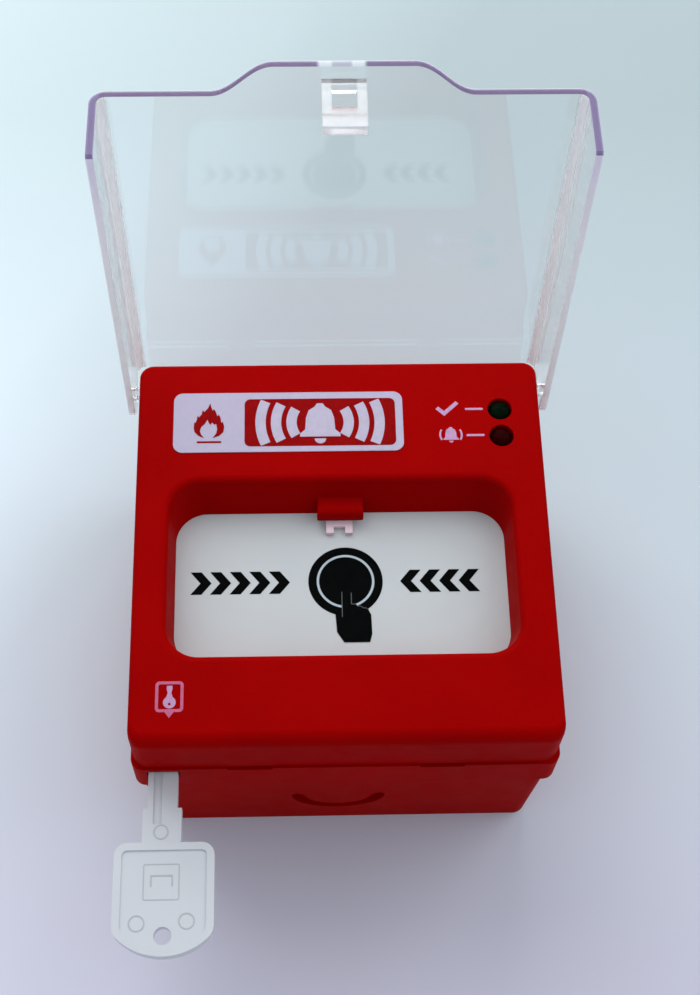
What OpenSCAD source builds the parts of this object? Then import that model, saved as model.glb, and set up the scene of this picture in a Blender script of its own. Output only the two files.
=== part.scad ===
// Manual call point: surface back box, mid chassis, front shell with a pressed
// panel, hinged clear cover and a test key. It lies on its back:
// X runs across the face, Y up the face towards the cover hinge, Z out of the wall.
// The origin is the centre of the back face.

/* [Housing] */
// Side of the square front shell
face_w = 86; // [85:0.5:88]
// Depth from the wall to the front face
depth = 57; // [56:0.5:59]
// Depth of the front shell
shell_h = 14.5; // [14:0.5:15]
// Depth of the chassis rim that shows between shell and back box
rim_h = 10; // [9.5:0.5:10]
// How far the chassis rim stands proud of the shell
rim_proud = 0.5; // [0.2:0.1:0.8]
// Side of the back box where it meets the rim
base_front_w = 85.2; // [84.5:0.1:85.4]
// Side of the back box at the wall
base_back_w = 82.6; // [82:0.1:83]
// Wall thickness of the moulded housing
wall = 2.2; // [2:0.1:2.4]
// Radius of the upright corners
corner_r = 3; // [2.5:0.1:3.5]
// Radius of the face edge at the top and the sides
edge_r = 1.2; // [0.8:0.1:1.6]
// Radius of the face edge along the bottom
bottom_edge_r = 2.8; // [2:0.1:3]

/* [Window] */
// Width of the recess, measured under its lip
win_w = 71.5; // [70:0.1:72.5]
// Upper edge of the recess, measured under its lip
win_top = 14.2; // [13.8:0.1:14.4]
// Lower edge of the recess, measured under its lip
win_bottom = -24.5; // [-25:0.1:-24]
// Depth of the recess down to the panel
win_depth = 9.5; // [9:0.1:10]
// How much the side and lower walls of the recess lean in
win_draft = 1; // [0.6:0.1:1.4]
// How much its upper wall leans in
top_draft = 3; // [2.5:0.1:3.2]
// Radius of the lip round the recess
win_lip = 1.6; // [1.2:0.1:1.8]
// Corner radius of the recess
win_r = 6.7; // [6:0.1:7.5]
// Travel of the pressed panel
press_travel = 2.5; // [2:0.1:2.5]

/* [Cover] */
// Wall thickness of the clear cover
cover_t = 1.4; // [1.2:0.1:1.6]
// Inner width of the clear cover
cover_in_w = 89.3; // [89:0.1:90]
// Gap between the closed cover and the face
cover_gap = 0.7; // [0.6:0.1:0.9]
// Depth of the cover's side walls, below the inside of its plate
cover_side = 14.1; // [13.5:0.1:14.2]
// Angle from closed to fully open
cover_open = 93; // [92:0.5:94]
// Distance from the hinge axis to the cover's free end
cover_len = 83; // [82.5:0.1:84]
// How far the thumb tab reaches past the free end
tab_len = 7.3; // [6:0.1:8]

/* [Key] */
// Width of the key's blade
key_blade_w = 6; // [5.8:0.1:6.2]
// Width of the key's shoulder
key_neck_w = 7.8; // [7.6:0.1:8.2]
// Width of the key's bow
key_bow_w = 19.9; // [19:0.1:21]
// Thickness of the key
key_t = 2.2; // [2:0.1:2.3]

/* [Mounting] */
// Distance between the wall screws of a pair
fix_spacing = 60; // [58:0.5:60]
// Width of a wall screw slot
fix_slot_w = 4.5; // [4.2:0.1:4.8]
// Length of a wall screw slot, end to end
fix_slot_l = 8; // [7:0.5:9]
// Radius of the rear cable entry
entry_r = 10; // [9:0.5:10]

/* [Hidden] */
$fn = 48;

red = "#b5121b";
white = "#efeeea";
clear = [0.85, 0.9, 0.95, 0.35];
steel = "#b9bcc0";

// levels, measured from the wall
z_rim = depth - shell_h;
z_base = z_rim - rim_h;
z_floor = z_base + 1;
floor_under = z_base - 1.5;
face_t = 2.4;
z_panel = depth - win_depth;
panel_t = 2.4;
z_board = z_floor + 1;
board_t = 1.6;
board_top = z_board + board_t;

// housing, worked out
rim_w = face_w + 2 * rim_proud;
shell_in = face_w - 2 * wall;
rim_in = rim_w - 2 * wall;
lip_w = shell_in - 0.5;
lip_t = 1.3;
base_floor = 2.5;
post_at = 36.5;
post_r = 3.4;
screw_r = 1.5;
knock_r = 10;
knock_w = 3;
knock_depth = 1.6;
knock_x = -1.2;
knock_z = 18.5;

// hinge of the cover
hinge_y = face_w / 2 - 2.28;
hinge_z = depth - 9;
pin_r = 1.3;
pin_play = 0.08;
cover_out_w = cover_in_w + 2 * cover_t;
cover_z = depth + cover_gap;
cover_top = cover_z + cover_t;
lid_end = hinge_y + 4.7;
tongue_w = 8.1;
tongue_gap = 1.45;
tongue_t = 2.2;

// panel, guides and switch
win_x = -0.2;
panel_top = win_top - top_draft + 1.2;
panel_low = win_bottom + win_draft - 1.2;
panel_cy = (panel_top + panel_low) / 2;
panel_w = win_w - 2 * win_draft + 2.4;
guide_x = 24;
guide_y = -8;
guide_r = 2;
bush_r = 3.9;
bush_top = 39.5;
switch_y = -11.3;
lever_x = -5.4;
lever_z = 41;
lever_len = 13;
lever_angle = asin((z_panel - panel_t - lever_z - 0.23) / lever_len);

// catch and reset slider
catch_x = -0.4;
catch_y = 16.5;
catch_z = 44;
catch_tip = 6;
hood_end = 8.75;
hood_low = z_panel + 1.45;
slider_x = -36;
slider_w = 4.4;
slider_z = 37.2;
slider_t = 2.4;
slider_low = -27.2;
slider_high = 23;
key_x = -37.05;
bow_x = -36.4;
key_z = 37.8;
key_tip = -30;
key_step = -50.6;
key_bow = -57.7;
key_end = -80;

// indicators
led_x = 34.4;
led_y = [31, 24.5];
led_r = 2.5;

// field terminals
pole = 5;
block_y = -25.5;
block_low = 23.5;

function mix(a, b, t) = a + (b - a) * t;

// flat shape of a rounded rectangle about the origin, with true arcs
module rounded(w, h, r) {
    square([w - 2 * r, h], center = true);
    square([w, h - 2 * r], center = true);
    for (x = [-1, 1], y = [-1, 1]) translate([x * (w / 2 - r), y * (h / 2 - r)]) circle(r);
}

// rounded block between two levels
module block(w, h, r, z0, z1) {
    translate([0, 0, z0]) linear_extrude(z1 - z0) rounded(w, h, r);
}

// plain box given by its two corners
module span(a, b) {
    translate(a) cube(b - a);
}

// cylinder along Y or X, centred on the origin of its start
module rod_y(r, len) {
    rotate([-90, 0, 0]) cylinder(r = r, h = len);
}

module rod_x(r, len) {
    rotate([0, 90, 0]) cylinder(r = r, h = len);
}

module at_posts() {
    for (x = [-1, 1], y = [-1, 1]) translate([x * post_at, y * post_at, 0]) children();
}

// screw with a pan head and a cross recess; its head sits on z = 0
module pan_screw(r, head_r, head_h, len) {
    difference() {
        union() {
            translate([0, 0, -len]) cylinder(r = r, h = len);
            cylinder(r = head_r, h = head_h);
        }
        for (a = [0, 90]) rotate([0, 0, a])
            translate([-head_r * 0.6, -0.3, head_h - 0.7]) cube([head_r * 1.2, 0.6, 1]);
    }
}

// one ring of the wire of a coil spring; t counts turns
function coil_ring(r, wire, pitch, t, n) = [
    for (k = [0 : n - 1])
        let (a = 360 * t, b = 360 * k / n, rr = r + wire * cos(b))
            [rr * cos(a), rr * sin(a), pitch * t + wire * sin(b)]
];

// coil spring standing on z = 0; wire is the wire's radius
module coil(r, wire, len, turns, steps = 16, n = 8) {
    pitch = (len - 2 * wire) / turns;
    count = turns * steps;
    rings = [for (i = [0 : count]) each coil_ring(r, wire, pitch, i / steps, n)];
    sides = [
        for (i = [0 : count - 1], k = [0 : n - 1])
            [i * n + k, i * n + (k + 1) % n, (i + 1) * n + (k + 1) % n, (i + 1) * n + k]
    ];
    ends = [[for (k = [n - 1 : -1 : 0]) k], [for (k = [0 : n - 1]) count * n + k]];
    translate([0, 0, wire]) polyhedron(rings, concat(sides, ends), convexity = 8);
}

// ---- housing ----

module back_box() color(red) difference() {
    union() {
        difference() {
            hull() {
                block(base_back_w, base_back_w, corner_r, 0, 0.01);
                block(base_front_w, base_front_w, corner_r, z_base - 0.01, z_base);
            }
            hull() {
                block(base_back_w - 2 * wall, base_back_w - 2 * wall, 1.5, base_floor, base_floor + 0.01);
                block(base_front_w - 2 * wall, base_front_w - 2 * wall, 1.5, z_base, z_base + 0.01);
            }
        }
        at_posts() cylinder(r = post_r, h = floor_under);
        wall_pads();
    }
    at_posts() translate([0, 0, 12]) cylinder(r = screw_r + 0.05, h = z_base);
    fixing_slots();
    translate([0, 0, -1]) cylinder(r = entry_r, h = base_floor + 2);
    for (s = [-1, 1]) scale([1, s, 1]) knock_out_groove();
}

// raised pads round the wall screw slots
module wall_pads() {
    for (a = [0, 90, 180, 270]) rotate([0, 0, a])
        translate([fix_spacing / 2, 0, 0]) block(14, 10, 2, 1, base_floor + 1);
}

module fixing_slots() {
    half = (fix_slot_l - fix_slot_w) / 2;
    for (a = [0, 90, 180, 270]) rotate([0, 0, a]) translate([fix_spacing / 2, 0, -1]) {
        for (s = [-1, 1]) translate([s * half, 0, 0]) cylinder(r = fix_slot_w / 2, h = base_floor + 3);
        translate([-half, -fix_slot_w / 2, 0]) cube([2 * half, fix_slot_w, base_floor + 3]);
    }
}

// half-round groove that lets the side cable entry be broken out
module knock_out_groove() {
    y_skin = mix(base_back_w, base_front_w, knock_z / z_base) / 2;
    mid = knock_r - knock_w / 2;
    translate([knock_x, -y_skin - 1, knock_z]) {
        difference() {
            rod_y(knock_r, 1 + knock_depth);
            translate([0, -1, 0]) rod_y(knock_r - knock_w, 4);
            translate([-20, -1, 0]) cube([40, 8, 20]);
        }
        for (s = [-1, 1]) translate([s * mid, 0, 0]) rod_y(knock_w / 2, 1 + knock_depth);
    }
}

module chassis() color(red) difference() {
    union() {
        difference() {
            block(rim_w, rim_w, corner_r - 0.5, z_base, z_rim);
            block(rim_in, rim_in, 1.5, z_floor, z_rim + 1);
        }
        block(base_front_w - 2 * wall - 1.2, base_front_w - 2 * wall - 1.2, 1.5, floor_under, z_floor);
        difference() {
            union() {
                block(rim_in + 0.5, rim_in + 0.5, 1.5, z_rim - 2, z_rim);
                block(lip_w, lip_w, 1.5, z_rim - 2, z_rim + 2);
            }
            block(lip_w - 2 * lip_t, lip_w - 2 * lip_t, 1, z_rim - 3, z_rim + 3);
            snap_slots();
        }
        for (s = [-1, 1]) translate([s * guide_x, guide_y, z_floor])
            cylinder(r = bush_r, h = bush_top - z_floor);
        board_points() translate([0, 0, z_floor]) cylinder(r = 2.8, h = z_board - z_floor);
        catch_ears();
        slider_rails();
        cover_stops();
    }
    for (s = [-1, 1]) translate([s * guide_x, guide_y, floor_under - 1])
        cylinder(r = guide_r + 0.08, h = bush_top);
    board_points() translate([0, 0, floor_under - 1]) cylinder(r = 1.25, h = 6);
    at_posts() translate([0, 0, floor_under - 1]) cylinder(r = screw_r + 0.2, h = 6);
    span([-13, -31.5, floor_under - 1], [13, -19.5, z_floor + 1]);
    span([key_x - 3.3, -face_w / 2 - 2, key_z - 0.3], [key_x + 3.3, -rim_in / 2 + 3, key_z + key_t + 1.2]);
    for (s = [-1, 1]) translate([s * 19.5, -rim_w / 2 + 1.4, z_rim - 0.35]) cube([9, 3, 0.8], center = true);
    translate([catch_x - 8, catch_y, catch_z]) rod_x(1.02, 16);
    span([key_x - 4.05, -33.5, z_rim - 3], [key_x + 2.2, -27.7, z_rim + 3]);
}

module board_points() {
    for (p = [[-26, 5], [-26, -29.5], [36, -29.5], [30.5, 14]]) translate(p) children();
}

// slots in the chassis lip that the shell's snap tongues drop through
module snap_slots() {
    for (x = [-1, 1], y = [-1, 1]) scale([x, y, 1])
        span([15.5, lip_w / 2 - lip_t - 0.2, z_rim - 3], [23.5, lip_w / 2 + 0.15, z_rim + 3]);
}

// two ears that carry the catch pin
module catch_ears() {
    for (s = [-1, 1]) translate([catch_x + s * 5.5, catch_y, 0]) {
        translate([-0.9, -2.2, z_floor]) cube([1.8, 4.4, catch_z - z_floor]);
        translate([-0.9, 0, catch_z]) rod_x(2.2, 1.8);
    }
}

// rails either side of the reset slider, pads under it and the spring's end stop
module slider_rails() {
    gap = slider_w / 2 + 0.25;
    for (s = [-1, 1]) translate([slider_x + s * (gap + 0.4), 0, 0])
        span([-0.4, -24, z_floor], [0.4, 17, slider_z + slider_t]);
    for (y = [-20, -2, 14])
        span([slider_x - 2.6, y - 1.5, z_floor], [slider_x + 2.6, y + 1.5, slider_z - 0.25]);
    span([slider_x - 3, 31, z_floor], [slider_x + 3, 33, slider_z + slider_t + 1.2]);
}

// lugs that the open cover's lip rests on
module cover_stops() {
    for (x = [-22, 22]) {
        span([x - 3, rim_w / 2 - 1, z_rim - 2.2], [x + 3, rim_w / 2 + 2.6, z_rim]);
        span([x - 3, rim_w / 2 + 0.5, z_rim - 1], [x + 3, rim_w / 2 + 2.6, z_rim + 0.35]);
    }
}

// the shell's face edge: small radius at the sides and top, larger along the bottom
function edge_in(r, z) = z <= depth - r ? 0 : r - sqrt(max(0, r * r - pow(z - depth + r, 2)));

module shell_slice(z) {
    side = edge_in(edge_r, z);
    low = edge_in(bottom_edge_r, z);
    translate([0, (low - side) / 2, z])
        linear_extrude(0.01) rounded(face_w - 2 * side, face_w - side - low, corner_r - side);
}

module shell_body() hull() {
    block(face_w, face_w, corner_r, z_rim, z_rim + 1);
    for (a = [0 : 15 : 90]) {
        shell_slice(depth - 0.01 - edge_r * (1 - sin(a)));
        shell_slice(depth - 0.01 - bottom_edge_r * (1 - sin(a)));
    }
}

// a slice of the recess: t is 0 at the panel and 1 under the lip; grow widens it all round
module window_slice(t, grow = 0) {
    side = win_w / 2 - win_draft * (1 - t) + grow;
    high = win_top - top_draft * (1 - t) + grow;
    low = win_bottom + win_draft * (1 - t) - grow;
    translate([win_x, (high + low) / 2, mix(z_panel, depth - win_lip, t)])
        linear_extrude(0.01) rounded(2 * side, high - low, win_r);
}

// what the rounded lip takes off, as a section: x runs outward, y = 0 is under the lip
module lip_section() difference() {
    translate([-0.2, 0]) square([win_lip + 0.2, win_lip + 1]);
    translate([win_lip, 0]) circle(win_lip, $fn = 64);
}

module window_cut() {
    half_x = win_w / 2 - win_r;
    half_y = (win_top - win_bottom) / 2 - win_r;
    hull() {
        window_slice(-0.12);
        window_slice(1);
    }
    translate([win_x, (win_top + win_bottom) / 2, depth - win_lip]) {
        linear_extrude(win_lip + 1) rounded(win_w, win_top - win_bottom, win_r);
        for (s = [-1, 1]) scale([s, 1, 1]) translate([win_w / 2, half_y, 0])
            rotate([90, 0, 0]) linear_extrude(2 * half_y) lip_section();
        for (s = [-1, 1]) scale([1, s, 1]) translate([-half_x, win_r + half_y, 0])
            rotate([90, 0, 90]) linear_extrude(2 * half_x) lip_section();
        for (x = [-1, 1], y = [-1, 1]) scale([x, y, 1]) translate([half_x, half_y, 0])
            rotate_extrude(angle = 90) translate([win_r, 0]) lip_section();
    }
}

module front_shell() color(red) difference() {
    union() {
        difference() {
            shell_body();
            block(shell_in, shell_in, 1.5, z_rim - 1, depth - face_t);
        }
        hull() {
            window_slice(0.01, 1.6);
            window_slice(0.95, 1.9);
        }
        snap_tongues();
    }
    difference() {
        window_cut();
        hood();
    }
    for (y = led_y) translate([led_x, y, depth - face_t - 1]) cylinder(r = led_r + 0.12, h = 5);
    for (s = [-1, 1]) scale([s, 1, 1])
        translate([shell_in / 2, hinge_y, hinge_z]) rod_x(pin_r + pin_play, 5);
    span([catch_x - 3.4, 10, z_panel - 1], [catch_x + 3.4, 20, hood_low]);
}

// hood that juts from the recess's upper wall, over the catch's tip
module hood() intersection() {
    high = z_panel + 4.4;
    r = 1.5;
    translate([win_x, 0, 0]) rotate([90, 0, 90]) linear_extrude(9.8, center = true) {
        translate([hood_end, hood_low]) square([6, high - hood_low - r]);
        translate([hood_end + r, hood_low]) square([6, high - hood_low]);
        translate([hood_end + r, high - r]) circle(r);
    }
    translate([win_x, 20, (high + hood_low) / 2]) rotate([90, 0, 0])
        linear_extrude(20) rounded(9.8, high - hood_low, 0.5);
}

// tongues that hook under the chassis rim
module snap_tongues() {
    for (x = [-1, 1], y = [-1, 1]) scale([x, y, 1]) {
        span([16, lip_w / 2 - 1.2, z_rim - 4], [23, lip_w / 2, z_rim + 3.5]);
        span([16, lip_w / 2 - 1.2, z_rim + 2.3], [23, shell_in / 2 + 0.2, z_rim + 3.5]);
        span([16, lip_w / 2 - 0.5, z_rim - 4], [23, lip_w / 2 + 0.5, z_rim - 2.6]);
    }
}

module fire_label() color(white)
    translate([-10.95, 28.3, 0]) block(48.9, 14.4, 2, depth, depth + 0.2);

// ---- press panel and its catch ----

module press_panel() color(white) {
    translate([win_x, panel_cy, 0])
        block(panel_w, panel_top - panel_low, 6, z_panel - panel_t, z_panel);
    for (s = [-1, 1]) translate([s * guide_x, guide_y, bush_top - 3])
        cylinder(r = guide_r, h = z_panel - panel_t - bush_top + 3.5);
    for (s = [-1, 1]) translate([s * 33, panel_cy, z_panel - panel_t - 1])
        cube([0.9, 30, 2.2], center = true);
}

module panel_springs() color(steel)
    for (s = [-1, 1]) translate([s * guide_x, guide_y, bush_top + 0.05])
        coil(2.7, 0.33, z_panel - panel_t - bush_top - 0.1, 4);

module panel_catch() color(white) translate([catch_x, catch_y, catch_z]) difference() {
    reach = catch_tip - catch_y;
    low = z_panel - catch_z + 0.12;
    top = z_panel - catch_z + 1.15;
    union() {
        translate([-4.3, 0, 0]) rod_x(2.2, 8.6);
        span([-2.8, -1.9, 0], [2.8, 1.1, top]);
        span([-2.8, reach, low], [2.8, 1.1, top]);
        rotate([90, 0, 90]) linear_extrude(4, center = true)
            polygon([[0, -1.8], [7.5, -0.9], [7.5, 0.6], [0, 0.4]]);
    }
    translate([-6, 0, 0]) rod_x(1.08, 12);
    span([-1.2, reach - 1, low - 1], [1.2, reach + 1.5, top + 1]);
}

module catch_pin() color(steel) {
    translate([catch_x - 6.6, catch_y, catch_z]) rod_x(1, 13.2);
    translate([catch_x - 7.2, catch_y, catch_z]) rod_x(1.6, 0.7);
}

module catch_spring() color(steel)
    translate([catch_x, catch_y + 5.5, z_floor + 0.05]) coil(1.5, 0.22, 8.9, 7, 12, 6);

module reset_slider() color(white) {
    left = slider_x - slider_w / 2;
    span([left, slider_low, slider_z], [left + slider_w, slider_high, slider_z + slider_t]);
    span([left, slider_high - 3, slider_z], [slider_x, slider_high, z_panel + 1]);
    span([left, slider_high - 3, z_panel - 1.2], [3, slider_high, z_panel + 1]);
}

module reset_spring() color(steel)
    translate([slider_x, slider_high + 0.05, slider_z + slider_t / 2])
        rotate([-90, 0, 0]) coil(1.5, 0.25, 31 - slider_high - 0.1, 6, 12, 6);

module key_guide() color("#2b2b2e") difference() {
    union() {
        span([key_x - 3.8, -33.2, z_floor], [key_x + 4.3, -28, key_z + key_t + 1.6]);
        span([key_x - 3.8, -33.2, z_floor], [key_x + 6.2, -28, z_floor + 1.6]);
    }
    span([key_x - 3.15, -34, key_z - 0.2], [key_x + 3.15, -27, key_z + key_t + 0.2]);
}

// ---- key ----

// points on an arc, from step first to step last of n
function arc_points(c, r, a0, a1, n, first, last) = [
    for (i = [first : last])
        let (a = a0 + (a1 - a0) * i / n)
            c + r * [cos(a), sin(a)]
];

// outline of the bow: rounded shoulders, and a broad round end blended into the sides
module bow_outline(inset = 0) {
    half = key_bow_w / 2;
    big = 13;
    small = 3.4;
    shoulder = 2.6;
    turn = acos((half - small) / (big - small));
    mid_y = key_end + big;
    side_y = mid_y - (big - small) * sin(turn);
    top_y = key_bow - shoulder;
    translate([bow_x, 0]) polygon(concat(
        arc_points([half - small, side_y], small - inset, -turn, 0, 8, 0, 8),
        arc_points([half - shoulder, top_y], shoulder - inset, 0, 90, 8, 0, 8),
        arc_points([shoulder - half, top_y], shoulder - inset, 90, 180, 8, 0, 8),
        arc_points([small - half, side_y], small - inset, 180, 180 + turn, 8, 0, 8),
        arc_points([0, mid_y], big - inset, 180 + turn, 360 - turn, 24, 1, 23)
    ));
}

module test_key() color(white) difference() {
    union() {
        translate([key_x, 0, key_z]) linear_extrude(key_t) polygon([
            [-key_blade_w / 2, key_step], [-key_neck_w / 2, key_step],
            [-key_neck_w / 2, key_bow - 1], [key_neck_w / 2, key_bow - 1],
            [key_neck_w / 2, key_step], [key_blade_w / 2, key_step],
            [key_blade_w / 2, key_tip - 1.2], [key_blade_w / 2 - 1.2, key_tip],
            [-key_blade_w / 2 + 1.2, key_tip], [-key_blade_w / 2, key_tip - 1.2]
        ]);
        translate([0, 0, key_z]) linear_extrude(key_t) bow_outline(0.7);
        translate([0, 0, key_z - 0.4]) linear_extrude(key_t + 0.8) difference() {
            bow_outline();
            bow_outline(1.5);
        }
    }
    translate([bow_x, key_end + 4, key_z - 2]) cylinder(r = 1.76, h = 8);
    span([key_x - 1.85, -53.8, key_z + key_t - 0.5], [key_x - 0.1, key_tip - 3, key_z + key_t + 1]);
}

// ---- cover, drawn closed and then swung open about its hinge ----

module cover_profile() rotate([90, 0, 0]) linear_extrude(200, center = true) difference() {
    translate([0, cover_top - 20]) rounded(cover_out_w, 40, 3);
    translate([0, cover_z - 20]) rounded(cover_in_w, 40, 1.6);
}

// seen from the side: a square free end, and an ear round the hinge
module cover_side_shape() rotate([90, 0, 90]) linear_extrude(200, center = true) {
    low = cover_z - cover_side;
    ear = hinge_z - low;
    translate([hinge_y, hinge_z]) circle(ear);
    polygon([
        [hinge_y, low], [hinge_y, hinge_z], [lid_end, hinge_z], [lid_end, cover_top + 1],
        [hinge_y - cover_len - 20, cover_top + 1], [hinge_y - cover_len - 20, low + 0.6],
        [hinge_y - cover_len, low + 0.6], [hinge_y - cover_len + 0.6, low]
    ]);
}

// seen from the front: the free end swells into the thumb tab
module cover_plan() {
    y_end = hinge_y - cover_len;
    swell = 11.5;
    flat = 12.7;
    curve = [for (i = [0 : 16]) let (t = i / 16)
        [flat + swell * (1 - t), y_end - tab_len * (1 - cos(180 * t)) / 2]];
    mirrored = [for (i = [16 : -1 : 0]) [-curve[i][0], curve[i][1]]];
    linear_extrude(300) polygon(concat(
        [[-cover_out_w, lid_end], [cover_out_w, lid_end], [cover_out_w, y_end]],
        curve, mirrored, [[-cover_out_w, y_end]]
    ));
}

module cover_closed() {
    intersection() {
        union() {
            cover_profile();
            span([-cover_out_w / 2 + 1, lid_end - cover_t, cover_z - 5.7],
                [cover_out_w / 2 - 1, lid_end, cover_z + 0.2]);
        }
        cover_side_shape();
        cover_plan();
    }
    for (s = [-1, 1]) scale([s, 1, 1]) translate([shell_in / 2 + 0.4, hinge_y, hinge_z])
        rod_x(pin_r, cover_in_w / 2 - shell_in / 2 + 0.2);
    latch_tongue();
}

// latch: a tongue with a window, and a nib that rides on the shell's bottom side
module latch_tongue() {
    y0 = -face_w / 2 - tongue_gap - tongue_t;
    low = cover_z - 11.4;
    difference() {
        span([-tongue_w / 2, y0, low], [tongue_w / 2, y0 + tongue_t, cover_z + 0.2]);
        span([-2.3, y0 - 1, low + 4.6], [2.3, y0 + 3, cover_z - 1.6]);
    }
    span([-tongue_w / 2, y0 + tongue_t - 0.1, cover_z - 8.6],
        [tongue_w / 2, y0 + tongue_t + 1.15, cover_z - 7.2]);
}

module clear_cover() color(clear)
    translate([0, hinge_y, hinge_z]) rotate([-cover_open, 0, 0]) translate([0, -hinge_y, -hinge_z])
        cover_closed();

// ---- electronics ----

module circuit_board() color("#1e6b3a") difference() {
    translate([0, 0, z_board]) linear_extrude(board_t) {
        translate([-30, -33.3]) square([69.5, 42.3]);
        translate([27, 8]) square([12.5, 25.3]);
    }
    for (s = [-1, 1]) translate([s * guide_x, guide_y, 0]) cylinder(r = bush_r + 0.4, h = 60);
    board_points() cylinder(r = 1.35, h = 60);
    for (y = led_y, s = [-1, 1]) translate([led_x + s * 1.27, y, 0]) cylinder(r = 0.4, h = 60);
}

module microswitch() color("#26272a") difference() {
    union() {
        span([-6.4, switch_y - 2.9, board_top], [6.4, switch_y + 2.9, lever_z - 0.5]);
        for (s = [-1, 1]) translate([0, switch_y + s * 2.35, 0])
            span([lever_x - 1, -0.55, lever_z - 1], [lever_x + 1, 0.55, lever_z + 0.9]);
    }
    translate([lever_x, switch_y - 4, lever_z]) rod_y(0.5, 8);
    translate([lever_x + 3.5, switch_y, lever_z - 2.1]) cylinder(r = 0.78, h = 4);
}

// spring lever of the switch, tilted up to meet the panel
module switch_lever() color(steel) translate([lever_x, switch_y, lever_z]) rotate([0, -lever_angle, 0]) {
    span([0, -1.5, -0.12], [lever_len, 1.5, 0.12]);
    translate([0, -2.9, 0]) rod_y(0.45, 5.8);
}

module switch_plunger() color("#b02a2a")
    translate([lever_x + 3.5, switch_y, lever_z - 1.4]) cylinder(r = 0.7, h = 2.1);

module at_poles() {
    for (i = [-1.5 : 1 : 1.5]) translate([i * pole, block_y, block_low]) children();
}

module terminal_block() color("#3f7f52") difference() {
    span([-11.4, block_y - 4.8, block_low], [11.4, block_y + 4.8, z_board]);
    at_poles() {
        translate([0, 0, -1]) cylinder(r = 2, h = 3.6);
        translate([-1.95, -6, 2.5]) cube([3.9, 8.6, 4.4]);
    }
}

module terminal_screws() color(steel) at_poles() rotate([180, 0, 0]) translate([0, 0, -2.2])
    pan_screw(1.1, 1.8, 1.3, 3);

module terminal_clamps() color("#c9a64a") at_poles() difference() {
    translate([-1.8, -2.4, 2.7]) cube([3.6, 4.8, 4]);
    translate([0, 0, 0]) cylinder(r = 1.15, h = 5.4);
    translate([-1.2, -3, 4.3]) cube([2.4, 6, 1.8]);
}

module led(y, tint) color(tint) translate([led_x, y, 0]) {
    translate([0, 0, z_panel + 1.1]) cylinder(r = 2.9, h = 1);
    translate([0, 0, z_panel + 2]) cylinder(r = led_r, h = depth - 2.2 - z_panel - 2);
    translate([0, 0, depth - 2.2]) intersection() {
        sphere(r = led_r);
        translate([0, 0, 2]) cube(2 * led_r, center = true);
    }
    for (s = [-1, 1]) translate([s * 1.27, 0, board_top - 2.4])
        cylinder(r = 0.28, h = z_panel + 3.6 - board_top);
}

module normal_led() led(led_y[0], "#0d4a2c");
module alarm_led() led(led_y[1], "#7a1018");

module led_spacers() color("#1b1b1d") for (y = led_y) translate([led_x, y, board_top]) difference() {
    cylinder(r = 2.8, h = z_panel + 1 - board_top);
    for (s = [-1, 1]) translate([s * 1.27, 0, -1]) cylinder(r = 0.5, h = 30);
}

module resistors() color("#c8ab7c") for (i = [0 : 3]) translate([-15, -15 - 4 * i, board_top + 1.3]) {
    translate([-3, 0, 0]) rod_x(1.1, 6);
    for (s = [-1, 1]) {
        translate([s * 4 - 1, 0, 0]) rod_x(0.3, 2);
        translate([s * 4.6, 0, -1.3]) cylinder(r = 0.3, h = 1.3);
    }
}

module capacitor() color("#20304f") translate([9, 1, board_top + 2.7]) {
    rod_x(2.5, 8);
    translate([-1, 0, 0]) rod_x(2.2, 1.2);
}

module control_chip() color("#222326") {
    span([9, -21, board_top + 0.3], [19, -17, board_top + 2]);
    for (i = [0 : 6], s = [-1, 1]) translate([9.9 + 1.35 * i, -19 + s * 2.4, board_top + 0.45])
        cube([0.45, 1.4, 0.9], center = true);
}

module board_screws() color(steel) board_points() translate([0, 0, board_top])
    pan_screw(1.2, 2.3, 1.4, 4);

module chassis_screws() color(steel) at_posts() translate([0, 0, z_floor])
    pan_screw(screw_r, 2.8, 1.8, 18);

back_box();
chassis();
front_shell();
fire_label();
press_panel();
panel_springs();
panel_catch();
catch_pin();
catch_spring();
reset_slider();
reset_spring();
key_guide();
test_key();
clear_cover();
circuit_board();
microswitch();
switch_lever();
switch_plunger();
terminal_block();
terminal_screws();
terminal_clamps();
normal_led();
alarm_led();
led_spacers();
resistors();
capacitor();
control_chip();
board_screws();
chassis_screws();
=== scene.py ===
import math

import bpy
from mathutils import Matrix, Vector


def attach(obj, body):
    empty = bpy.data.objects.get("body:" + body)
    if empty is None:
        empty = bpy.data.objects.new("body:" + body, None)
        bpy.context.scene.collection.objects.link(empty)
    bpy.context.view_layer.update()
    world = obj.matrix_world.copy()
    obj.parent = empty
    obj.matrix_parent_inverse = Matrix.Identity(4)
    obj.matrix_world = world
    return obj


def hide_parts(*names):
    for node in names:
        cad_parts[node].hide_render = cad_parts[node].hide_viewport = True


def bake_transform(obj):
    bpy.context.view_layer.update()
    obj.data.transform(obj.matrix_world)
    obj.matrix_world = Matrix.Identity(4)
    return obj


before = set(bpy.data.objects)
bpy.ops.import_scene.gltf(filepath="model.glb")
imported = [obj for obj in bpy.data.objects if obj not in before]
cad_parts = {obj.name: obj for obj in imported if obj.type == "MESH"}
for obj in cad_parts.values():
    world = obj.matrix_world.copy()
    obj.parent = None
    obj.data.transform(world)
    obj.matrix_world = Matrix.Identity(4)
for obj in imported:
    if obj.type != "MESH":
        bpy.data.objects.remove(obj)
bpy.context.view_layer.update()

MM = 0.001

# heights above the wall, in mm: the face, the label on it, the press panel and the key's upper side
FACE = 57.0
LABEL = 57.2
PANEL = 47.5
KEY_TOP = 40.0

# the cover's hinge line, in metres, and how far the cover stands open
HINGE = (0.0, 0.04072, 0.048)
COVER_OPEN = math.radians(93)


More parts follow.
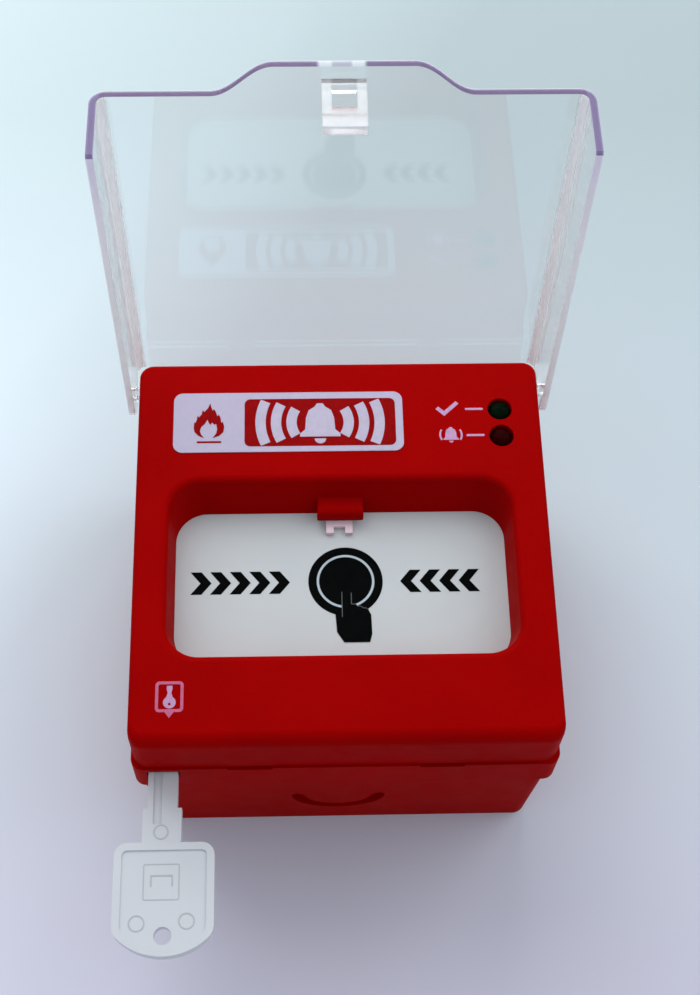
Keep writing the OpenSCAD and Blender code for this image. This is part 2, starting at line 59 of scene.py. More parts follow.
# ---------------------------------------------------------------- materials
def new_material(name):
    mat = bpy.data.materials.new(name)
    mat.use_nodes = True
    nt = mat.node_tree
    return mat, nt, nt.nodes["Principled BSDF"]


def coords(nt):
    return nt.nodes.new("ShaderNodeTexCoord").outputs["Object"]


def noise(nt, vector, scale, detail=3.0, rough=0.55, distortion=0.0):
    n = nt.nodes.new("ShaderNodeTexNoise")
    n.inputs["Scale"].default_value = scale
    n.inputs["Detail"].default_value = detail
    n.inputs["Roughness"].default_value = rough
    n.inputs["Distortion"].default_value = distortion
    nt.links.new(vector, n.inputs["Vector"])
    return n.outputs["Fac"]


def ramp(nt, fac, stops):
    n = nt.nodes.new("ShaderNodeValToRGB")
    while len(n.color_ramp.elements) < len(stops):
        n.color_ramp.elements.new(0.5)
    for element, (at, colour) in zip(n.color_ramp.elements, stops):
        element.position = at
        element.color = (*colour, 1.0)
    nt.links.new(fac, n.inputs["Fac"])
    return n.outputs["Color"]


def remap(nt, value, low, high, a=0.0, b=1.0):
    """low where value is a or less, high where it is b or more."""
    n = nt.nodes.new("ShaderNodeMapRange")
    n.inputs["From Min"].default_value = a
    n.inputs["From Max"].default_value = b
    n.inputs["To Min"].default_value = low
    n.inputs["To Max"].default_value = high
    nt.links.new(value, n.inputs["Value"])
    return n.outputs["Result"]


def rise(nt, distance, start, end):
    """0 up to start and 1 from end on, both in mm."""
    return remap(nt, distance, 0, 1, start * MM, end * MM)


def fall(nt, distance, start, end):
    """1 up to start and 0 from end on, both in mm."""
    return remap(nt, distance, 1, 0, start * MM, end * MM)


def bump(nt, height, strength, distance, normal=None):
    n = nt.nodes.new("ShaderNodeBump")
    n.inputs["Strength"].default_value = strength
    n.inputs["Distance"].default_value = distance
    nt.links.new(height, n.inputs["Height"])
    if normal is not None:
        nt.links.new(normal, n.inputs["Normal"])
    return n.outputs["Normal"]


def shade(colour, k):
    return tuple(min(1.0, c * k) for c in colour)


def moulded(name, colour, rough, grain, depth, spread, specular):
    """Moulded plastic: slow colour drift, fine spark-eroded grain, rubbed patches in the gloss."""
    mat, nt, bsdf = new_material(name)
    at = coords(nt)
    drift = noise(nt, at, 38, 3)
    nt.links.new(ramp(nt, drift, [(0.3, shade(colour, 1 - spread)), (0.7, shade(colour, 1 + spread))]),
                 bsdf.inputs["Base Color"])
    rub = noise(nt, at, 160, 4, 0.6, 0.4)
    nt.links.new(remap(nt, rub, rough[0], rough[1], 0.3, 0.7), bsdf.inputs["Roughness"])
    fine = noise(nt, at, grain, 2, 0.6)
    flow = noise(nt, at, 70, 2)
    first = bump(nt, flow, 0.15, 0.0001)
    nt.links.new(bump(nt, fine, 0.35, depth, first), bsdf.inputs["Normal"])
    bsdf.inputs["Specular IOR Level"].default_value = specular
    return mat


def printed(name, colour, rough, spread, specular):
    """Ink or printed film: thin, slightly uneven, with a faint grain."""
    mat, nt, bsdf = new_material(name)
    at = coords(nt)
    ink = noise(nt, at, 900, 4, 0.7)
    nt.links.new(ramp(nt, ink, [(0.35, shade(colour, 1 - spread)), (0.65, shade(colour, 1 + spread))]),
                 bsdf.inputs["Base Color"])
    handled = noise(nt, at, 300, 3)
    nt.links.new(remap(nt, handled, rough[0], rough[1], 0.3, 0.7), bsdf.inputs["Roughness"])
    nt.links.new(bump(nt, noise(nt, at, 5000, 2), 0.2, 0.00001), bsdf.inputs["Normal"])
    bsdf.inputs["Specular IOR Level"].default_value = specular
    return mat


def metal(name, colour, rough=(0.22, 0.4), stretch=(400, 400, 4000)):
    """Drawn or plated metal with fine directional scratches."""
    mat, nt, bsdf = new_material(name)
    at = coords(nt)
    mapping = nt.nodes.new("ShaderNodeMapping")
    mapping.inputs["Scale"].default_value = stretch
    nt.links.new(at, mapping.inputs["Vector"])
    lines = noise(nt, mapping.outputs["Vector"], 1.0, 4, 0.7)
    nt.links.new(ramp(nt, lines, [(0.3, shade(colour, 0.8)), (0.7, shade(colour, 1.08))]),
                 bsdf.inputs["Base Color"])
    nt.links.new(remap(nt, lines, rough[0], rough[1], 0.3, 0.7), bsdf.inputs["Roughness"])
    nt.links.new(bump(nt, lines, 0.25, 0.00002), bsdf.inputs["Normal"])
    bsdf.inputs["Metallic"].default_value = 1.0
    return mat


def board_material():
    """Solder mask over copper tracks: a grid of tracks that shows as a lighter green relief."""
    mat, nt, bsdf = new_material("solder_mask")
    at = coords(nt)
    brick = nt.nodes.new("ShaderNodeTexBrick")
    brick.inputs["Scale"].default_value = 190
    brick.inputs["Mortar Size"].default_value = 0.035
    brick.inputs["Color1"].default_value = (0.012, 0.10, 0.045, 1)
    brick.inputs["Color2"].default_value = (0.014, 0.12, 0.05, 1)
    brick.inputs["Mortar"].default_value = (0.03, 0.21, 0.09, 1)
    nt.links.new(at, brick.inputs["Vector"])
    nt.links.new(brick.outputs["Color"], bsdf.inputs["Base Color"])
    nt.links.new(remap(nt, noise(nt, at, 500, 3), 0.25, 0.4, 0.3, 0.7), bsdf.inputs["Roughness"])
    nt.links.new(bump(nt, brick.outputs["Fac"], 0.4, 0.00003), bsdf.inputs["Normal"])
    return mat


def along(nt, vector, axis, origin=(0, 0, 0)):
    """Distance from origin along a unit axis."""
    n = nt.nodes.new("ShaderNodeVectorMath")
    n.operation = "SUBTRACT"
    nt.links.new(vector, n.inputs[0])
    n.inputs[1].default_value = origin
    d = nt.nodes.new("ShaderNodeVectorMath")
    d.operation = "DOT_PRODUCT"
    nt.links.new(n.outputs["Vector"], d.inputs[0])
    d.inputs[1].default_value = axis
    return d.outputs["Value"]


def maths(nt, operation, a, b=None):
    n = nt.nodes.new("ShaderNodeMath")
    n.operation = operation
    for socket, value in zip(n.inputs, (a, b)):
        if isinstance(value, (int, float)):
            socket.default_value = value
        elif value is not None:
            nt.links.new(value, socket)
    return n.outputs[0]


def blend_colour(nt, fac, a, b):
    n = nt.nodes.new("ShaderNodeMix")
    n.data_type = "RGBA"
    nt.links.new(fac, n.inputs["Factor"])
    for socket, value in ((n.inputs[6], a), (n.inputs[7], b)):
        if isinstance(value, tuple):
            socket.default_value = (*value, 1)
        else:
            nt.links.new(value, socket)
    return n.outputs[2]


def clear_material():
    """Clear moulded polycarbonate with painted light: painted glow in the inner corners, on the latch and
    faintly on the side walls, and painted light and shade on the plate's free edge and the side walls' end
    faces.
    """
    mat, nt, bsdf = new_material("clear_polycarbonate")

    def times(a, b):
        return maths(nt, "MULTIPLY", a, b)

    def most(a, b):
        return maths(nt, "MAXIMUM", a, b)

    def unsigned(a):
        return maths(nt, "ABSOLUTE", a)

    # distances from the hinge along the plate and out of it, and from the middle of the width
    at = coords(nt)
    normal = nt.nodes.new("ShaderNodeTexCoord").outputs["Normal"]
    plate_way = (0, -math.cos(COVER_OPEN), math.sin(COVER_OPEN))
    outward = (0, math.sin(COVER_OPEN), math.cos(COVER_OPEN))
    sideways = (1, 0, 0)
    reach = along(nt, at, plate_way, HINGE)
    depth = along(nt, at, outward, HINGE)
    across = unsigned(along(nt, at, sideways))
    off_latch = unsigned(along(nt, at, sideways, (-0.4 * MM, 0, 0)))
    n_end = unsigned(along(nt, normal, plate_way))
    n_face = unsigned(along(nt, normal, outward))
    n_side = unsigned(along(nt, normal, sideways))

    # the regions, each 0 to 1
    far = rise(nt, reach, 80.0, 81.2)
    on_plate = most(rise(nt, depth, 9.5, 9.7), rise(nt, across, 6.0, 6.4))
    tab_edge = times(times(remap(nt, n_end, 0, 1, 0.4, 0.6), far), on_plate)
    wall = rise(nt, across, 44.0, 44.6)
    side_end = fall(nt, depth, -4.3, -4.0)
    middle = fall(nt, off_latch, 1.2, 2.0)
    root = times(rise(nt, off_latch, 1.2, 2.0), fall(nt, off_latch, 3.9, 4.6))
    latch = times(far, maths(nt, "SUBTRACT", 1.0, on_plate))

    # how white and opaque each region is painted: painted glow of scattered light in the inner corners, on
    # the latch's legs and foot and faintly on the side walls, broken up by noise; the side walls' end faces
    # are made opaque to carry their painted shade
    corner_painted_glow = remap(nt, times(n_side, n_face), 0, 0.78, 0.04, 0.30)
    legs = remap(nt, across, 0.20, 0.36, 2.0 * MM, 2.6 * MM)
    foot = remap(nt, depth, 0.36, 0.0, 2.2 * MM, 3.2 * MM)
    latch_painted_glow = times(latch, most(legs, foot))
    cloud = remap(nt, noise(nt, at, 260, 3), 0.85, 1.0, 0.3, 0.7)
    painted_glow = times(most(most(corner_painted_glow, latch_painted_glow), times(wall, 0.15)), cloud)
    end_painted_opacity = times(side_end, remap(nt, reach, 0.6, 0.75, 35 * MM, 65 * MM))
    opaque = most(most(tab_edge, end_painted_opacity), painted_glow)

    # colours: painted light and shade on the side walls' end faces, white near the hinge and painted lilac
    # shade towards the free edge; painted shade on the plate's free edge; and the clear body
    painted_end_light_and_shade = ramp(nt, rise(nt, reach, 0.0, 91.2), [(0.10, (1.0, 1.0, 1.0)), (0.50, (0.98, 1.0, 1.0)),
                                                 (0.70, (0.86, 0.84, 0.95)), (0.88, (0.72, 0.68, 0.84))])
    # painted shade: the plate's free edge is painted dark lilac, a little lighter at the side walls, grey in
    # the middle and pale either side of it over the latch
    painted_edge_shade = blend_colour(nt, wall, (0.19, 0.135, 0.25), (0.23, 0.18, 0.32))
    painted_edge_shade = blend_colour(nt, middle, painted_edge_shade, (0.42, 0.42, 0.50))
    painted_edge_shade = blend_colour(nt, root, painted_edge_shade, (0.60, 0.66, 0.68))
    colour = blend_colour(nt, painted_glow, (0.97, 0.98, 0.985), (0.93, 0.97, 0.98))
    colour = blend_colour(nt, side_end, colour, painted_end_light_and_shade)
    colour = blend_colour(nt, tab_edge, colour, painted_edge_shade)
    nt.links.new(colour, bsdf.inputs["Base Color"])
    nt.links.new(maths(nt, "SUBTRACT", 1.0, opaque), bsdf.inputs["Transmission Weight"])
    smear = noise(nt, at, 55, 4, 0.6, 0.8)
    clear_rough = remap(nt, smear, 0.012, 0.05, 0.35, 0.7)
    frosted = most(opaque, times(side_end, 0.6))
    nt.links.new(most(clear_rough, times(frosted, 0.5)), bsdf.inputs["Roughness"])
    nt.links.new(bump(nt, noise(nt, at, 24, 2), 0.01, 0.0002), bsdf.inputs["Normal"])
    bsdf.inputs["Subsurface Weight"].default_value = 1.0
    bsdf.inputs["Subsurface Radius"].default_value = (1.0, 1.0, 1.0)
    bsdf.inputs["Subsurface Scale"].default_value = 0.003
    bsdf.inputs["IOR"].default_value = 1.5
    bsdf.inputs["Specular IOR Level"].default_value = 0.3

    # light passes straight through on its way to a shadow
    clear = nt.nodes.new("ShaderNodeBsdfTransparent")
    clear.inputs["Color"].default_value = (0.94, 0.955, 0.965, 1)
    path = nt.nodes.new("ShaderNodeLightPath")
    mix = nt.nodes.new("ShaderNodeMixShader")
    nt.links.new(path.outputs["Is Shadow Ray"], mix.inputs["Fac"])
    nt.links.new(bsdf.outputs["BSDF"], mix.inputs[1])
    nt.links.new(clear.outputs["BSDF"], mix.inputs[2])
    nt.links.new(mix.outputs["Shader"], nt.nodes["Material Output"].inputs["Surface"])
    return mat


def lens_material(name, colour):
    """Tinted epoxy lamp body, unlit: dark and dull, with a slow change in its tint."""
    mat, nt, bsdf = new_material(name)
    at = coords(nt)
    cloud = noise(nt, at, 420, 3, 0.6)
    nt.links.new(ramp(nt, cloud, [(0.3, shade(colour, 0.7)), (0.7, shade(colour, 1.3))]),
                 bsdf.inputs["Base Color"])
    nt.links.new(remap(nt, cloud, 0.4, 0.55, 0.3, 0.7), bsdf.inputs["Roughness"])
    nt.links.new(bump(nt, noise(nt, at, 1800, 2), 0.1, 0.00002), bsdf.inputs["Normal"])
    bsdf.inputs["Specular IOR Level"].default_value = 0.012
    return mat


red = moulded("housing_red", (0.33, 0.0003, 0.0004), (0.42, 0.56), 2400, 0.00003, 0.06, 0.01)
red_base = moulded("back_box_red", (0.33, 0.0008, 0.0004), (0.45, 0.58), 2000, 0.00004, 0.06, 0.01)
panel_white = moulded("panel_white", (0.565, 0.60, 0.605), (0.34, 0.46), 2800, 0.00001, 0.02, 0.15)
slider_white = moulded("acetal_white", (0.72, 0.72, 0.70), (0.35, 0.5), 2200, 0.00002, 0.03, 0.4)
# the catch is white; its pink tint is painted red light bounced from the recess around it
clip_white = moulded("clip_white", (0.80, 0.62, 0.68), (0.35, 0.5), 2200, 0.00002, 0.04, 0.3)
key_white = moulded("key_white", (0.67, 0.70, 0.73), (0.34, 0.48), 2200, 0.00002, 0.03, 0.25)
# painted shade: darker grey for the key's pin marks and relief, standing in for their shadows
key_painted_shade = moulded("key_painted_shade", (0.52, 0.53, 0.55), (0.4, 0.5), 2200, 0.00002, 0.05, 0.2)
film = printed("label_film", (0.475, 0.425, 0.555), (0.4, 0.55), 0.02, 0.12)
ink_white = printed("ink_white", (0.49, 0.44, 0.56), (0.5, 0.65), 0.05, 0.1)
ink_mauve = printed("ink_mauve", (0.52, 0.30, 0.49), (0.5, 0.65), 0.06, 0.08)
ink_pink = printed("ink_pink", (0.56, 0.13, 0.24), (0.5, 0.65), 0.08, 0.08)
ink_ring = printed("ink_ring", (0.46, 0.54, 0.58), (0.5, 0.65), 0.05, 0.1)
ink_black = printed("ink_black", (0.001, 0.0015, 0.0015), (0.6, 0.75), 0.3, 0.03)
ink_red = printed("ink_red", (0.26, 0.0006, 0.001), (0.45, 0.6), 0.08, 0.03)
ink_grey = printed("ink_grey", (0.10, 0.11, 0.11), (0.5, 0.6), 0.08, 0.1)
black = moulded("inner_black", (0.012, 0.012, 0.014), (0.4, 0.6), 1800, 0.00003, 0.2, 0.4)
green_block = moulded("block_green", (0.05, 0.21, 0.09), (0.35, 0.5), 1800, 0.00003, 0.08, 0.4)
plunger_red = moulded("plunger_red", (0.35, 0.03, 0.03), (0.3, 0.45), 1800, 0.00002, 0.08, 0.4)
tan = moulded("resistor_body", (0.50, 0.36, 0.18), (0.35, 0.5), 2600, 0.00003, 0.12, 0.4)
sleeve_blue = moulded("capacitor_sleeve", (0.01, 0.03, 0.09), (0.25, 0.4), 1500, 0.00002, 0.15, 0.5)
wire = metal("spring_wire", (0.60, 0.60, 0.61))
zinc = metal("zinc_screw", (0.68, 0.69, 0.71), (0.2, 0.36), (3000, 300, 900))
brass = metal("clamp_brass", (0.72, 0.52, 0.22), (0.25, 0.42), (900, 900, 2500))
mask = board_material()
clear = clear_material()
lamp_green = lens_material("lamp_green", (0.0012, 0.0065, 0.0022))
lamp_red = lens_material("lamp_red", (0.022, 0.0006, 0.0008))

CAD_LOOKS = {
    "back_box": red_base, "chassis": red, "front_shell": red, "fire_label": film, "press_panel": panel_white,
    "panel_catch": clip_white, "catch_pin": zinc, "reset_slider": slider_white, "key_guide": black,
    "test_key": key_white, "clear_cover": clear, "circuit_board": mask, "microswitch": black,
    "switch_lever": wire, "switch_plunger": plunger_red, "terminal_block": green_block,
    "terminal_screws": zinc, "terminal_clamps": brass, "normal_led": lamp_green, "alarm_led": lamp_red,
    "led_spacers": black, "resistors": tan, "capacitor": sleeve_blue, "control_chip": black,
    "board_screws": zinc, "chassis_screws": zinc, "panel_springs": wire, "catch_spring": wire,
    "reset_spring": wire,
}
for node, mat in CAD_LOOKS.items():
    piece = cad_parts[node]
    if not piece.material_slots:
        piece.data.materials.append(mat)
    for s in piece.material_slots:
        s.material = mat


# ---------------------------------------------------------------- soft edges on the CAD parts
def soften(node, width, segments):
    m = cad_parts[node].modifiers.new("edge", "BEVEL")
    m.width = width * MM
    m.segments = segments
    m.limit_method = "ANGLE"
    m.angle_limit = math.radians(35)
    m.harden_normals = False
    m.use_clamp_overlap = True
    m.miter_outer = "MITER_ARC"


for node, width, segments in (("test_key", 0.36, 4), ("panel_catch", 0.2, 3), ("clear_cover", 0.25, 3),
                              ("chassis", 0.25, 3)):
    soften(node, width, segments)


# ---------------------------------------------------------------- flat printed shapes
def arc(cx, cy, r, a0, a1, n=24):
    return [(cx + r * math.cos(math.radians(a0 + (a1 - a0) * i / n)),
             cy + r * math.sin(math.radians(a0 + (a1 - a0) * i / n))) for i in range(n + 1)]


def circle(cx, cy, r, n=64):
    return arc(cx, cy, r, 0, 360, n)[:-1]


def round_rect(x0, y0, x1, y1, r, n=8):
    return (arc(x1 - r, y1 - r, r, 0, 90, n) + arc(x0 + r, y1 - r, r, 90, 180, n)
            + arc(x0 + r, y0 + r, r, 180, 270, n) + arc(x1 - r, y0 + r, r, 270, 360, n))


def band(cx, cy, r, width, a0, a1, n=24):
    return arc(cx, cy, r + width / 2, a0, a1, n) + arc(cx, cy, r - width / 2, a1, a0, n)


def plate(name, loops, z, mat, body, thick=0.05):
    """Thin raised shape with holes, in mm, its underside at z."""
    curve = bpy.data.curves.new(name, "CURVE")
    curve.dimensions = "2D"
    curve.fill_mode = "BOTH"
    curve.extrude = thick / 2 * MM
    for loop in loops:
        spline = curve.splines.new("POLY")
        spline.points.add(len(loop) - 1)
        for p, (x, y) in zip(spline.points, loop):
            p.co = (x * MM, y * MM, 0, 1)
        spline.use_cyclic_u = True
    temp = bpy.data.objects.new(name + "_curve", curve)
    bpy.context.collection.objects.link(temp)
    bpy.context.view_layer.update()
    mesh = bpy.data.meshes.new_from_object(temp)
    bpy.data.objects.remove(temp)
    bpy.data.curves.remove(curve)
    mesh.transform(Matrix.Translation((0, 0, (z + thick / 2) * MM)))
    mesh.name = name
    mesh.materials.clear()
    mesh.materials.append(mat)
    piece = bpy.data.objects.new(name, mesh)
    bpy.context.collection.objects.link(piece)
    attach(piece, body)


# label: a flame over a bar, and a red field with a bell between sound waves
flame_out = [(-27.65, 33.0), (-28.05, 31.9), (-28.85, 30.9), (-29.25, 31.3), (-29.45, 30.3), (-29.95, 29.6),
             (-30.35, 29.9), (-30.45, 29.0), (-30.75, 28.2), (-31.0, 28.4), (-31.1, 27.0), (-30.9, 26.0),
             (-30.1, 25.1), (-28.9, 24.5), (-29.5, 25.4), (-29.75, 26.2), (-29.5, 27.2), (-28.7, 28.0),
             (-28.2, 29.0), (-27.9, 28.2), (-27.55, 27.7), (-27.2, 28.3), (-26.7, 27.7), (-26.35, 28.0),
             (-26.1, 26.7), (-26.3, 25.6), (-27.1, 24.5), (-25.7, 25.0), (-24.8, 25.9), (-24.6, 27.2),
             (-24.9, 28.4), (-25.25, 28.2), (-25.4, 29.4), (-25.75, 30.2), (-26.1, 29.8), (-26.45, 30.9),
             (-26.8, 31.6), (-27.1, 31.2), (-27.4, 32.0)]
plate("flame_mark", [flame_out], LABEL, ink_red, "housing")
plate("flame_base", [round_rect(-30.4, 23.3, -25.2, 23.75, 0.2)], LABEL, ink_red, "housing")
FIELD_THICK = 0.04
MIDDLE = -4.2
plate("label_field", [round_rect(-20.3, 22.4, 11.9, 33.9, 1.3)], LABEL, ink_red, "housing",
      FIELD_THICK)
bell = [(-4.3, 24.6), (-4.3, 25.3), (-3.2, 26.3), (-3.0, 29.2), (-2.4, 31.0), (-1.1, 31.9), (-0.6, 32.7),
        (0.6, 32.7), (1.1, 31.9), (2.4, 31.0), (3.0, 29.2), (3.2, 26.3), (4.3, 25.3), (4.3, 24.6)]
plate("bell_mark", [[(x + MIDDLE, y) for x, y in bell]], LABEL + FIELD_THICK, ink_white, "housing")
plate("bell_clapper", [arc(MIDDLE, 24.1, 1.2, 180, 360)], LABEL + FIELD_THICK, ink_white, "housing")
for i, r in enumerate((6.1, 9.4, 12.7)):
    for side, a in (("left", 180), ("right", 0)):
        plate(f"wave_{side}_{i + 1}", [band(MIDDLE, 28.1, r, 2.2, a - 32 + 4 * i, a + 32 - 4 * i)],
              LABEL + FIELD_THICK, ink_white, "housing")

# lamp captions: a tick and a small bell, with a dash towards each lamp
plate("normal_mark", [[(20.6, 31.1), (21.2, 31.7), (22.4, 30.6), (25.0, 33.0), (25.6, 32.4), (22.4, 29.4)]],
      FACE, ink_mauve, "housing")
plate("normal_dash", [round_rect(26.9, 30.8, 30.8, 31.3, 0.25)], FACE, ink_mauve, "housing")
SMALL = 0.38
ALARM_X = 23.6
plate("alarm_mark", [[(x * SMALL + ALARM_X, (y - 28.1) * SMALL + 24.9) for x, y in bell]], FACE, ink_mauve,
      "housing")
plate("alarm_clapper", [arc(ALARM_X, 23.35, 0.45, 180, 360, 12)], FACE, ink_mauve, "housing")
for side, a in (("left", 180), ("right", 0)):
    plate(f"alarm_wave_{side}", [band(ALARM_X, 24.8, 2.3, 0.4, a - 32, a + 32)], FACE, ink_mauve, "housing")
plate("alarm_dash", [round_rect(26.9, 24.4, 30.8, 24.9, 0.25)], FACE, ink_mauve, "housing")

# press panel: a target disc with a pressing finger, and chevrons that point at it
DISC = (0.65, -4.75)
plate("target_disc", [circle(*DISC, 7.8, 96)], PANEL, ink_black, "panel")
plate("target_ring", [circle(*DISC, 6.05, 96), circle(*DISC, 5.55, 96)[::-1]], PANEL + 0.05, ink_ring,
      "panel", 0.03)
fingertip = arc(0.78, -7.4, 0.95, 0, 180, 12)
fist = [(-0.17, -11.6), (-0.35, -11.0), (-0.95, -10.6), (-1.5, -11.1), (-1.6, -12.4), (-1.35, -16.2),
        (0.1, -18.5), (5.4, -18.5), (5.9, -16.7), (5.8, -12.4), (5.3, -11.4), (4.7, -10.9), (4.2, -10.9),
        (3.6, -10.45), (3.0, -10.5), (2.6, -10.0), (1.73, -10.0)]
plate("hand_mark", [fingertip + fist], PANEL + 0.08, ink_black, "panel", 0.04)
plate("finger_line_left", [round_rect(-0.28, -12.9, -0.1, -7.2, 0.08)], PANEL + 0.12, ink_grey, "panel",
      0.02)
plate("finger_line_right", [round_rect(1.68, -10.0, 1.86, -7.4, 0.08)], PANEL + 0.12, ink_grey, "panel",
      0.02)
knuckles = [(1.8, -9.9), (2.65, -9.9), (3.05, -10.4), (3.65, -10.35), (4.2, -10.8), (4.75, -10.8),
            (5.4, -11.35)]
plate("knuckle_line", [knuckles + [(x, y - 0.17) for x, y in reversed(knuckles)]], PANEL + 0.12, ink_grey,
      "panel", 0.02)
CHEVRON_PITCH = 4.1
for side, sign, tip, count in (("left", 1, -11.0, 5), ("right", -1, 12.1, 4)):
    for i in range(count):
        x = tip - sign * CHEVRON_PITCH * i
        plate(f"chevron_{side}_{i + 1}",
              [[(x, -4.85), (x - sign * 2.1, -2.3), (x - sign * 4.4, -2.3), (x - sign * 2.3, -4.85),
                (x - sign * 4.4, -7.4), (x - sign * 2.1, -7.4)]],
              PANEL, ink_black, "panel")

# key mark at the lower left of the face: a frame with a key in it and an arrow below
plate("key_field", [round_rect(-37.6, -36.4, -32.05, -30.03, 0.8),
                    round_rect(-37.0, -35.8, -32.65, -30.63, 0.35)[::-1]],
      FACE, ink_pink, "housing")
small_key = ([(-35.35, -30.95), (-34.25, -30.95), (-34.25, -31.7), (-34.45, -32.4), (-34.2, -33.2)]
             + arc(-34.8, -34.4, 1.25, 55, -235, 30) + [(-35.4, -33.2), (-35.15, -32.4), (-35.35, -31.7)])
plate("key_mark_shape", [small_key, circle(-34.8, -34.75, 0.28, 16)[::-1]], FACE, ink_mauve, "housing")
plate("key_mark_arrow", [[(-36.0, -36.0), (-33.6, -36.0), (-34.8, -37.65)]], FACE + 0.05, ink_pink, "housing")


# ---------------------------------------------------------------- key details
def ring_on_key(name, cx, cy, r, width=0.22, height=0.1):
    """The raised witness line that a mould pin leaves, coloured darker as painted shade."""
    plate(name, [circle(cx, cy, r + width / 2, 40), circle(cx, cy, r - width / 2, 40)[::-1]], KEY_TOP,
          key_painted_shade, "key", height)


ring_on_key("key_pin_mark_left", -41.55, -73.55, 1.5)
ring_on_key("key_pin_mark_right", -31.77, -73.2, 1.5)
ring_on_key("key_pin_mark_neck", -37.2, -55.5, 1.4)

# a square outline with a bracket in it, in the middle of the bow, in the darker painted-shade colour
plate("key_relief", [round_rect(-40.5, -69.1, -33.3, -61.9, 0.4),
                     round_rect(-40.3, -68.9, -33.5, -62.1, 0.3)[::-1]],
      KEY_TOP, key_painted_shade, "key", 0.06)
plate("key_relief_tab", [[(-39.05, -66.4), (-39.05, -64.1), (-34.6, -64.1), (-34.6, -66.4), (-34.85, -66.4),
                          (-34.85, -64.4), (-38.8, -64.4), (-38.8, -66.4)]],
      KEY_TOP, key_painted_shade, "key", 0.08)


# ---------------------------------------------------------------- coil springs in place of the CAD springs
STEPS_PER_TURN = 28
SIDES = 10
CLOSED = 0.6


def spring(name, coils, mat, node):
    """Coils with CLOSED turns at each end: (foot, direction, radius, wire radius, length, turns), in mm."""
    verts, faces = [], []
    for foot, direction, radius, wire_r, length, turns in coils:
        turn = Vector((0, 0, 1)).rotation_difference(Vector(direction)).to_matrix()
        steps = int(turns * STEPS_PER_TURN)
        base = len(verts)
        climb = length - 2 * wire_r
        for i in range(steps + 1):
            t = i / steps
            lead = min(1.0, max(0.0, (t * turns - CLOSED) / (turns - 2 * CLOSED)))
            a = 2 * math.pi * turns * t
            for k in range(SIDES):
                b = 2 * math.pi * k / SIDES
                rr = radius + wire_r * math.cos(b)
                p = Vector((rr * math.cos(a), rr * math.sin(a), wire_r + climb * lead + wire_r * math.sin(b)))
                verts.append((Vector(foot) + turn @ p) * MM)
        for i in range(steps):
            for k in range(SIDES):
                q = (k + 1) % SIDES
                faces.append((base + i * SIDES + k, base + i * SIDES + q, base + (i + 1) * SIDES + q,
                              base + (i + 1) * SIDES + k))
        faces.append(tuple(base + k for k in reversed(range(SIDES))))
        faces.append(tuple(base + steps * SIDES + k for k in range(SIDES)))
    mesh = bpy.data.meshes.new(name)
    mesh.from_pydata([tuple(v) for v in verts], [], faces)
    mesh.update()
    for p in mesh.polygons:
        p.use_smooth = True
    mesh.materials.append(mat)
    piece = bpy.data.objects.new(name, mesh)
    bpy.context.collection.objects.link(piece)
    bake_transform(piece)
    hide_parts(node)


spring("panel_coils", [((s * 24, -8, 39.56), (0, 0, 1), 2.7, 0.33, 5.48, 4) for s in (-1, 1)], wire,
       "panel_springs")
spring("catch_coil", [((-0.4, 22, 33.56), (0, 0, 1), 1.5, 0.22, 8.85, 7)], wire, "catch_spring")
spring("reset_coil", [((-36, 23.06, 38.4), (0, 1, 0), 1.5, 0.25, 7.85, 6)], wire, "reset_spring")


# ---------------------------------------------------------------- stage
def floor_material():
    """Pale paper with painted light: a painted falloff makes it cooler and darker away from the viewer, and a
    painted pool of light makes it brighter to the left.
    """
    mat, nt, bsdf = new_material("floor_paper")
    at = coords(nt)
    # painted falloff: lighter and lilac towards the viewer, darker and cooler away from it
    paper_with_painted_falloff = ramp(nt, remap(nt, along(nt, at, (0, 1, 0)), 0, 1, -0.12, 0.16),
                [(0.0, (0.86, 0.81, 0.98)), (0.5, (0.80, 0.91, 0.98)), (1.0, (0.62, 0.74, 0.76))])
    cloud = remap(nt, noise(nt, at, 9, 3), 0.97, 1.0, 0.3, 0.7)
    # painted pool of light towards the left
    left = remap(nt, along(nt, at, (-1, 0, 0)), 0.80, 1.0, 0.0, 0.11)
    painted_far_left_light = remap(nt, along(nt, at, (-0.85, 0.53, 0)), 1.0, 1.16, 0.065, 0.11)
    tint = nt.nodes.new("ShaderNodeVectorMath")
    tint.operation = "SCALE"
    nt.links.new(paper_with_painted_falloff, tint.inputs[0])
    nt.links.new(maths(nt, "MULTIPLY", maths(nt, "MULTIPLY", cloud, left), painted_far_left_light), tint.inputs["Scale"])
    nt.links.new(tint.outputs["Vector"], bsdf.inputs["Base Color"])
    nt.links.new(remap(nt, noise(nt, at, 400, 2), 0.45, 0.6, 0.3, 0.7), bsdf.inputs["Roughness"])
    bsdf.inputs["Specular IOR Level"].default_value = 0.2
    return mat


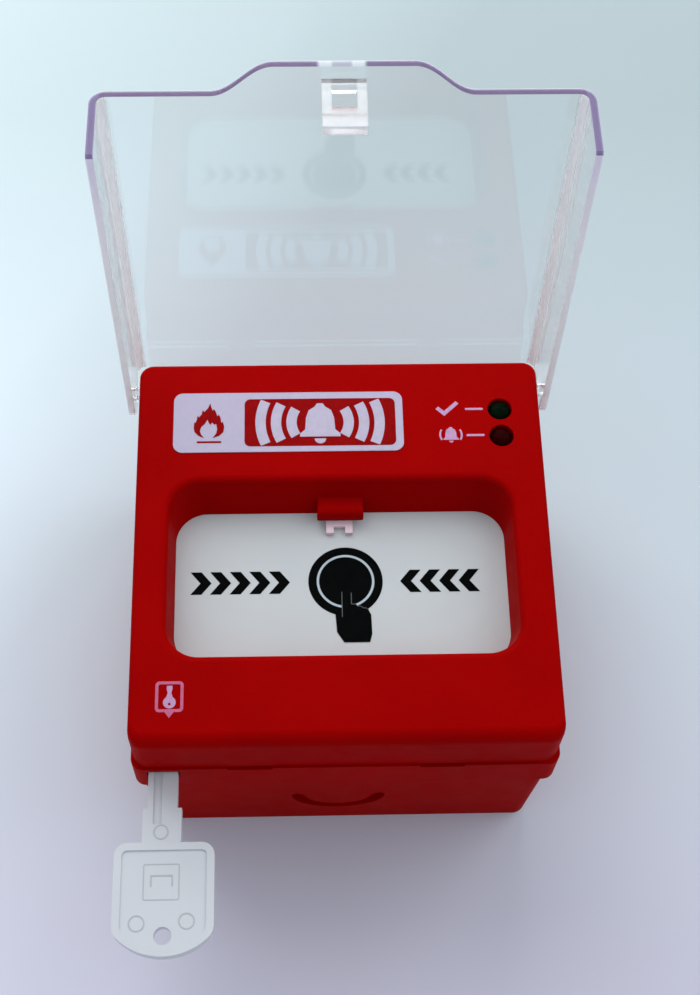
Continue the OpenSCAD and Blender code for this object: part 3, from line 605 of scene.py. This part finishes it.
HALF = 1.6
floor_mesh = bpy.data.meshes.new("floor")
floor_mesh.from_pydata([(-HALF, -HALF, 0), (HALF, -HALF, 0), (HALF, HALF, 0), (-HALF, HALF, 0)], [],
                       [(0, 1, 2, 3)])
floor_mesh.materials.append(floor_material())
floor = bpy.data.objects.new("floor", floor_mesh)
bpy.context.collection.objects.link(floor)

world = bpy.data.worlds.new("studio")
world.use_nodes = True
bpy.context.scene.world = world
world.node_tree.nodes["Background"].inputs["Color"].default_value = (0.86, 0.92, 1.0, 1)
world.node_tree.nodes["Background"].inputs["Strength"].default_value = 0.58


def area(name, at, size, power, colour):
    """Round soft light that points at the object."""
    data = bpy.data.lights.new(name, "AREA")
    data.shape = "DISK"
    data.size = size
    data.energy = power
    data.color = colour
    lamp = bpy.data.objects.new(name, data)
    bpy.context.collection.objects.link(lamp)
    lamp.location = at
    lamp.rotation_euler = (Vector((0, 0, 0.03)) - Vector(at)).to_track_quat("-Z", "Y").to_euler()


area("key_light", (-0.2, 0.62, 0.64), 0.95, 4.5, (1.0, 0.99, 0.98))
area("fill_light", (0.75, 0.25, 0.75), 0.9, 2.8, (0.95, 0.97, 1.0))


# ---------------------------------------------------------------- camera
SENSOR = 36.0
LENS = 60.21255
SHIFT_X = 0.01199
TILT, YAW, ROLL = -0.467, -0.027, -0.024

# the middle of the face as the camera sees it: right, down and forward, in mm
FACE_IN_VIEW = Vector((0.966, 9.061, 342.538))

looking_down = Matrix(((1, 0, 0), (0, -1, 0), (0, 0, -1)))
turn = (Matrix.Rotation(ROLL, 3, "Z") @ Matrix.Rotation(TILT, 3, "X") @ Matrix.Rotation(YAW, 3, "Y")
        @ looking_down)
right, down, forward = turn
centre = Vector((0, 0, FACE)) - turn.transposed() @ FACE_IN_VIEW
cam_data = bpy.data.cameras.new("camera")
cam_data.sensor_width = SENSOR
cam_data.sensor_fit = "AUTO"
cam_data.lens = LENS
cam_data.shift_x = SHIFT_X
cam_data.clip_start = 0.01
cam = bpy.data.objects.new("camera", cam_data)
bpy.context.collection.objects.link(cam)
basis = Matrix((right, -down, -forward)).transposed()
cam.matrix_world = Matrix.Translation(centre * MM) @ basis.to_4x4()
bpy.context.scene.camera = cam
bpy.context.scene.view_settings.view_transform = "Standard"
bpy.context.scene.view_settings.look = "None"
